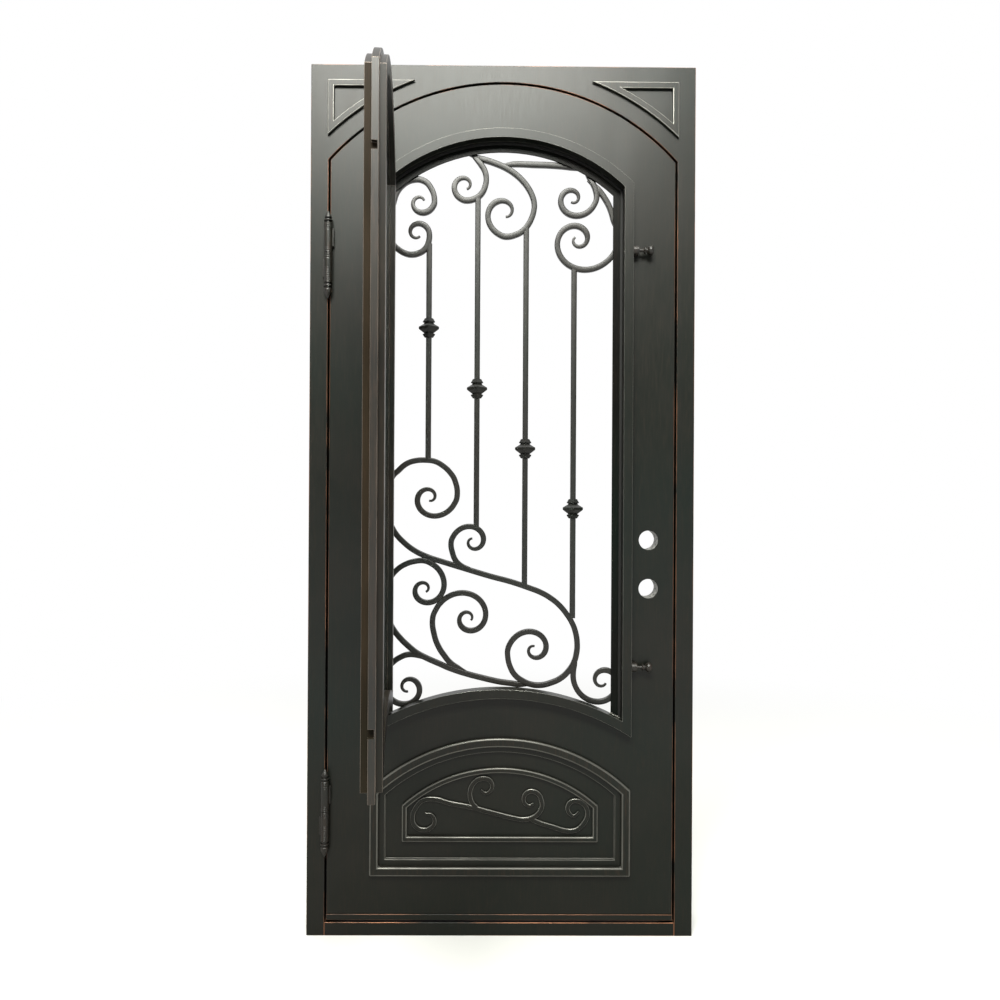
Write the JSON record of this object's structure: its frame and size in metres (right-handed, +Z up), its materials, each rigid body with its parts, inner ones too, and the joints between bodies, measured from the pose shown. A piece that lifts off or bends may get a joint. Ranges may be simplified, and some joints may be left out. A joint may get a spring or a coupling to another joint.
{
  "type": "wrought iron entry door",
  "caption": "Hinged iron entry door in its frame, with an arched leaf, a scroll grille and a glazed sash that opens behind it for air.",
  "frame": {"origin": "centre of the underside of the sill, midway between the inside and outside faces of the frame", "axes": "+X along the door towards the lock side, seen from inside with the hinges on the left; +Y from inside to outside; +Z up"},
  "size_m": [1.08, 0.8405, 2.44],
  "materials": {
    "frame_iron": "satin hand rubbed paint",
    "sill_iron": "satin hand rubbed paint",
    "leaf_iron": "satin hand rubbed paint",
    "sash_iron": "satin hand rubbed paint",
    "grille_iron": "satin forged texture",
    "moulding_iron": "satin hand rubbed paint",
    "hinge_iron": "satin",
    "bolt_iron": "satin",
    "gasket_rubber": "matt",
    "clear_glass": "clear",
    "glass_spacer": "satin"
  },
  "bodies": {
    "frame": {"jamb_left": "frame_iron", "jamb_right": "frame_iron", "head": "frame_iron", "sill": "sill_iron", "spandrel_left": "frame_iron", "spandrel_right": "frame_iron", "hinge_upper_frame": "hinge_iron", "hinge_lower_frame": "hinge_iron"},
    "leaf": {"hinge_stile": "leaf_iron", "lock_stile": "leaf_iron", "arch_rail": "leaf_iron", "lower_panel": "leaf_iron", "window_trim_left": "leaf_iron", "window_trim_right": "leaf_iron", "window_trim_arch": "leaf_iron", "window_trim_bottom": "leaf_iron", "window_seat": "leaf_iron", "window_gasket": "gasket_rubber", "scroll_grille": "grille_iron", "picket_collar_1": "grille_iron", "picket_collar_2": "grille_iron", "picket_collar_3": "grille_iron", "picket_collar_4": "grille_iron", "panel_outer_moulding": "moulding_iron", "panel_inner_moulding": "moulding_iron", "panel_scroll": "moulding_iron", "bottom_strip": "moulding_iron", "outside_window_trim": "leaf_iron", "hinge_upper_leaf": "hinge_iron", "hinge_lower_leaf": "hinge_iron", "sash_hinge_upper_leaf": "hinge_iron", "sash_hinge_lower_leaf": "hinge_iron", "upper_bolt_guide": "bolt_iron", "lower_bolt_guide": "bolt_iron"},
    "sash": {"sash_stile_hinge": "sash_iron", "sash_stile_free": "sash_iron", "sash_rail_top": "sash_iron", "sash_rail_bottom": "sash_iron", "glass_inside": "clear_glass", "glass_outside": "clear_glass", "glass_spacer": "glass_spacer", "sash_hinge_upper_sash": "hinge_iron", "sash_hinge_lower_sash": "hinge_iron"},
    "upper_bolt": {"upper_bolt": "bolt_iron"},
    "lower_bolt": {"lower_bolt": "bolt_iron"}
  },
  "joints": [
    {"name": "leaf_hinge", "type": "hinge", "parent": "frame", "child": "leaf", "pos_m": [-0.487, -0.084, 1.128], "axis": [0, 0, -1], "range_deg": [0, 95]},
    {"name": "sash_hinge", "type": "hinge", "parent": "leaf", "child": "sash", "pos_m": [-0.336, -0.106, 1.35], "axis": [0, 0, -1], "range_deg": [-85, 10]},
    {"name": "upper_bolt_slide", "type": "slide", "parent": "leaf", "child": "upper_bolt", "axis": [-1, 0, 0], "range_m": [0, 0.012]},
    {"name": "lower_bolt_slide", "type": "slide", "parent": "leaf", "child": "lower_bolt", "axis": [-1, 0, 0], "range_m": [0, 0.012]}
  ]
}
